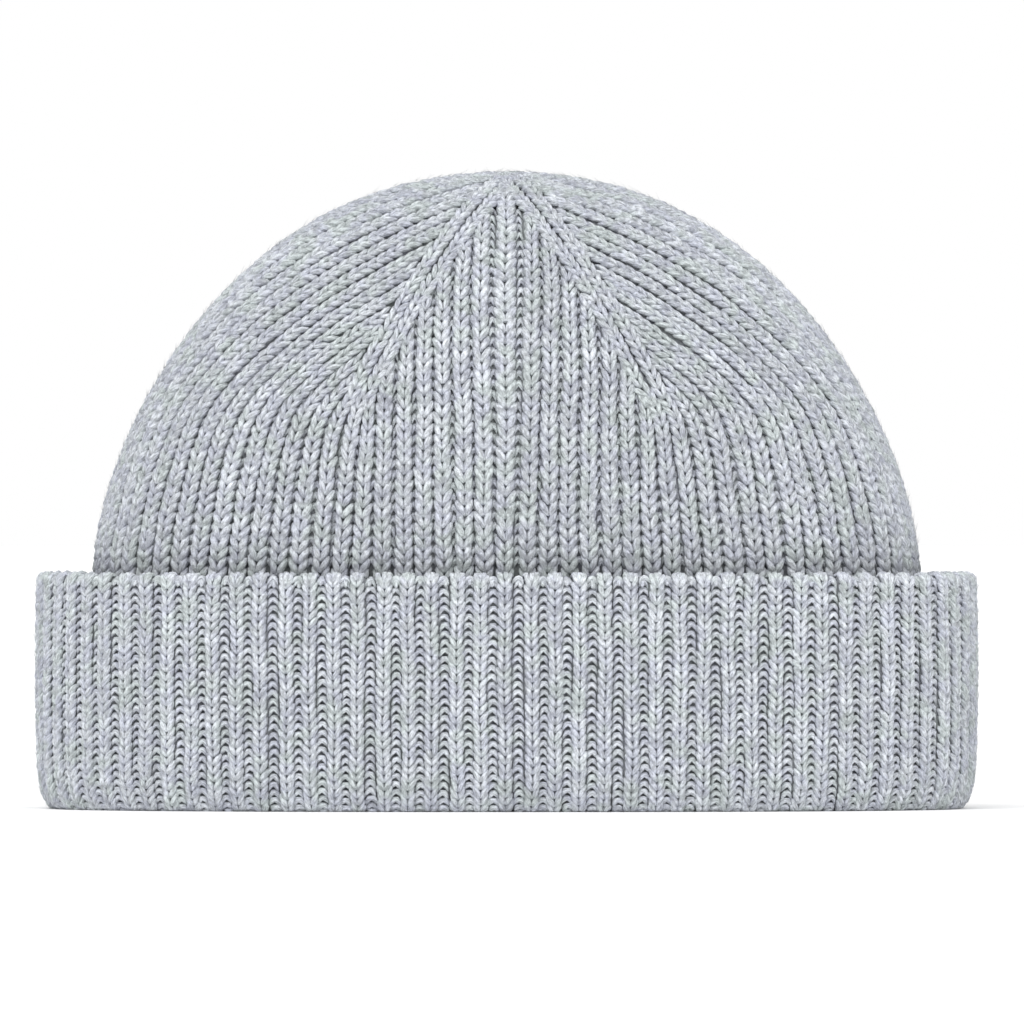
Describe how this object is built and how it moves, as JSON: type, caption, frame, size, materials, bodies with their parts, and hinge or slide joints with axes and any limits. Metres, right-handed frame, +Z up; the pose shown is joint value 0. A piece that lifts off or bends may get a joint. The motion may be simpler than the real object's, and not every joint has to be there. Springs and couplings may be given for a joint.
{
  "type": "fisherman beanie",
  "caption": "Ribbed knit beanie with a deep turned-up cuff and a domed crown shaped by four decrease lines, standing on its fold.",
  "frame": {"origin": "middle of the resting face under the fold, at the bottom centre of the whole hat", "axes": "+Z up through the crown's top, +X along the hat's wide side, -Y towards the front, the side the picture shows"},
  "size_m": [0.2256, 0.1126, 0.1523],
  "materials": {
    "crown_knit": "matte heathered wool rib knit, light bluish grey",
    "cuff_knit": "matte heathered wool rib knit, light bluish grey"
  },
  "bodies": {
    "root": {"crown": "crown_knit", "cuff": "cuff_knit"}
  },
  "joints": []
}
